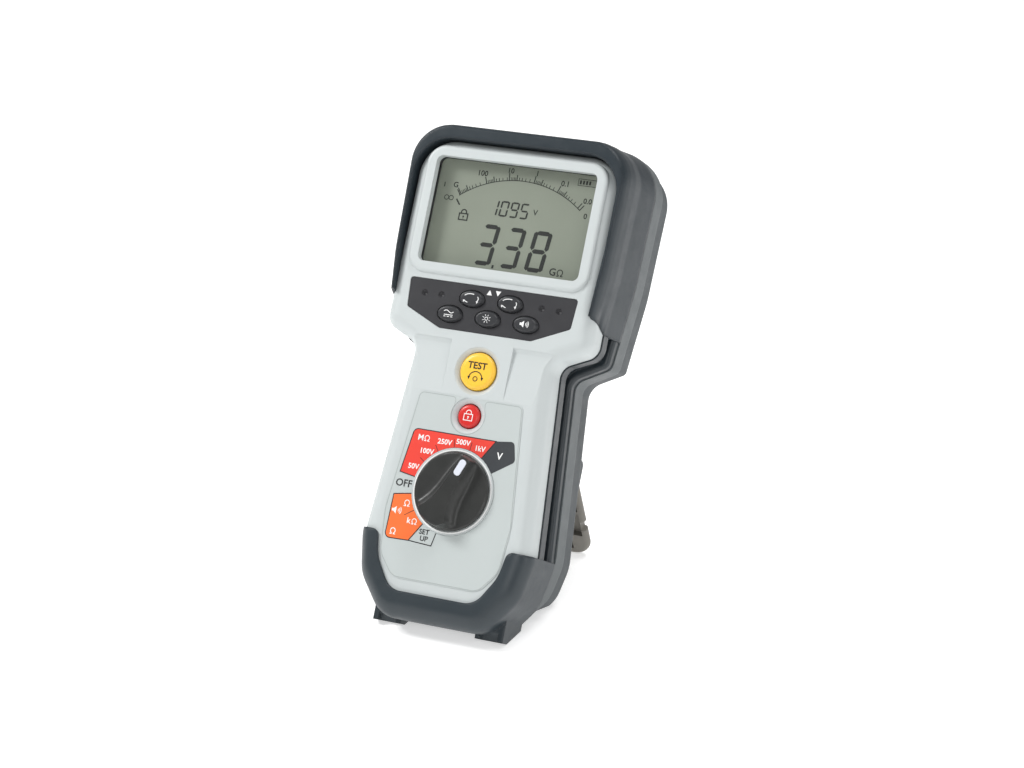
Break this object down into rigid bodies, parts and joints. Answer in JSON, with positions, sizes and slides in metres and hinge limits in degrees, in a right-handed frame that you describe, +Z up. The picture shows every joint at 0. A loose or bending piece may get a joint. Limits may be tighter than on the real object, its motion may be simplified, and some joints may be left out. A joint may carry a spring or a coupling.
{
  "type": "insulation resistance tester",
  "caption": "Hand-held electrical tester with a display head, keypad, push buttons, rotary selector and rubber overmould, leaning back on its folding rear stand.",
  "frame": {"origin": "centre of the bounding box on the surface that it stands on, with the stand open", "axes": "+Z up, the face looks towards -Y and leans back, +X is to the right of someone facing it"},
  "size_m": [0.1114, 0.155, 0.2089],
  "materials": {
    "light_case": "fine moulded texture",
    "dark_rubber": "soft satin overmould",
    "rear_plastic": "fine moulded texture",
    "seal_rubber": "satin",
    "steel": "zinc plated",
    "spring_steel": "nickel plated",
    "black_plastic": "matte",
    "white_plastic": "matte",
    "cell_wrap": "printed foil wrap",
    "stand_plastic": "fine moulded texture",
    "clear_window": "clear acrylic",
    "display_panel": "liquid crystal panel",
    "keypad_plastic": "satin film",
    "key_rubber": "satin silicone",
    "yellow_plastic": "satin",
    "red_plastic": "satin",
    "knob_plastic": "fine moulded texture",
    "pointer_plastic": "satin",
    "label_film": "printed polycarbonate film",
    "circuit_board": "green solder mask",
    "ferrite": "sintered",
    "winding": "taped winding",
    "capacitor_sleeve": "shrunk sleeve",
    "resistor_ceramic": "ceramic",
    "brass": "plated",
    "socket_plastic": "satin"
  },
  "bodies": {
    "instrument": {"front_case": "light_case", "hood": "dark_rubber", "bumper": "dark_rubber", "right_grip": "dark_rubber", "left_grip": "dark_rubber", "rear_rim": "dark_rubber", "rear_case": "rear_plastic", "case_seal": "seal_rubber", "case_screws": "steel", "battery_cover": "rear_plastic", "battery_cover_screws": "steel", "battery_holder": "black_plastic", "batteries": "cell_wrap", "battery_contacts": "spring_steel", "stand_hinge_pin": "steel", "display_lens": "clear_window", "display_frame": "black_plastic", "display_glass": "display_panel", "light_guide": "white_plastic", "contact_strips": "key_rubber", "keypad_panel": "keypad_plastic", "key_mat": "key_rubber", "key_switches": "spring_steel", "test_switch": "black_plastic", "lock_switch": "black_plastic", "spindle_seal": "seal_rubber", "switch_housing": "black_plastic", "switch_lid": "black_plastic", "label_overlay": "label_film", "main_board": "circuit_board", "board_screws": "steel", "power_board": "circuit_board", "board_link": "black_plastic", "measuring_chip": "black_plastic", "buzzer": "black_plastic", "transformer_core": "ferrite", "transformer_coil": "winding", "reservoir_capacitors": "capacitor_sleeve", "relays": "white_plastic", "protection_resistors": "resistor_ceramic", "fuse": "resistor_ceramic", "fuse_clips": "brass", "socket_shrouds": "socket_plastic", "socket_contacts": "brass"},
    "stand": {"stand": "stand_plastic"},
    "selector": {"knob": "knob_plastic", "knob_pointer": "pointer_plastic", "selector_spindle": "steel", "switch_rotor": "white_plastic"},
    "test_button": {"test_button": "yellow_plastic"},
    "lock_button": {"lock_button": "red_plastic"},
    "upper_left_key": {"upper_left_key": "key_rubber"},
    "upper_right_key": {"upper_right_key": "key_rubber"},
    "lower_left_key": {"lower_left_key": "key_rubber"},
    "lower_middle_key": {"lower_middle_key": "key_rubber"},
    "lower_right_key": {"lower_right_key": "key_rubber"}
  },
  "joints": [
    {"name": "stand_hinge", "type": "hinge", "parent": "instrument", "child": "stand", "pos_m": [0, 0.01571, 0.06692], "axis": [1, 0, 0], "range_deg": [-51.5, 0]},
    {"name": "selector_turn", "type": "hinge", "parent": "instrument", "child": "selector", "pos_m": [0, -0.0515, 0.06301], "axis": [0, -0.8829, 0.4695], "range_deg": [-22.5, 180]},
    {"name": "test_button_press", "type": "slide", "parent": "instrument", "child": "test_button", "axis": [0, 0.8829, -0.4695], "range_m": [0, 0.0015], "stiffness_N_per_m": 900, "springref_m": -0.0015},
    {"name": "lock_button_press", "type": "slide", "parent": "instrument", "child": "lock_button", "axis": [0, 0.8829, -0.4695], "range_m": [0, 0.0015], "stiffness_N_per_m": 900, "springref_m": -0.0015},
    {"name": "upper_left_key_press", "type": "slide", "parent": "instrument", "child": "upper_left_key", "axis": [0, 0.8829, -0.4695], "range_m": [0, 0.0008], "stiffness_N_per_m": 900, "springref_m": -0.0008},
    {"name": "upper_right_key_press", "type": "slide", "parent": "instrument", "child": "upper_right_key", "axis": [0, 0.8829, -0.4695], "range_m": [0, 0.0008], "stiffness_N_per_m": 900, "springref_m": -0.0008},
    {"name": "lower_left_key_press", "type": "slide", "parent": "instrument", "child": "lower_left_key", "axis": [0, 0.8829, -0.4695], "range_m": [0, 0.0008], "stiffness_N_per_m": 900, "springref_m": -0.0008},
    {"name": "lower_middle_key_press", "type": "slide", "parent": "instrument", "child": "lower_middle_key", "axis": [0, 0.8829, -0.4695], "range_m": [0, 0.0008], "stiffness_N_per_m": 900, "springref_m": -0.0008},
    {"name": "lower_right_key_press", "type": "slide", "parent": "instrument", "child": "lower_right_key", "axis": [0, 0.8829, -0.4695], "range_m": [0, 0.0008], "stiffness_N_per_m": 900, "springref_m": -0.0008}
  ]
}
